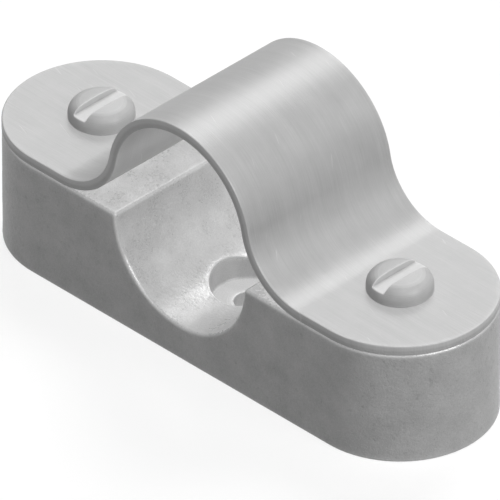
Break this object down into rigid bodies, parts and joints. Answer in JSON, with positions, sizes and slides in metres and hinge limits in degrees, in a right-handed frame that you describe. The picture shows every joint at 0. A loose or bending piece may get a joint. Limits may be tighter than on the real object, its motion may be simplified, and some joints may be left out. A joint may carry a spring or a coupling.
{
  "type": "distance saddle",
  "caption": "Distance saddle that holds a round conduit off a wall: a cast base with a half-round groove and a bent strap held by slotted pan-head screws.",
  "frame": {"origin": "middle of the base's flat underside", "axes": "+X from screw to screw along the saddle's length, +Y along the conduit, +Z away from the wall"},
  "size_m": [0.071, 0.023, 0.0319],
  "materials": {
    "base": "galvanised casting, fine as-cast texture",
    "strap": "galvanised pressed sheet steel, satin",
    "screws": "zinc-plated turned steel, satin"
  },
  "bodies": {
    "root": {"base": "base", "strap": "strap", "strap_screws": "screws"}
  },
  "joints": []
}
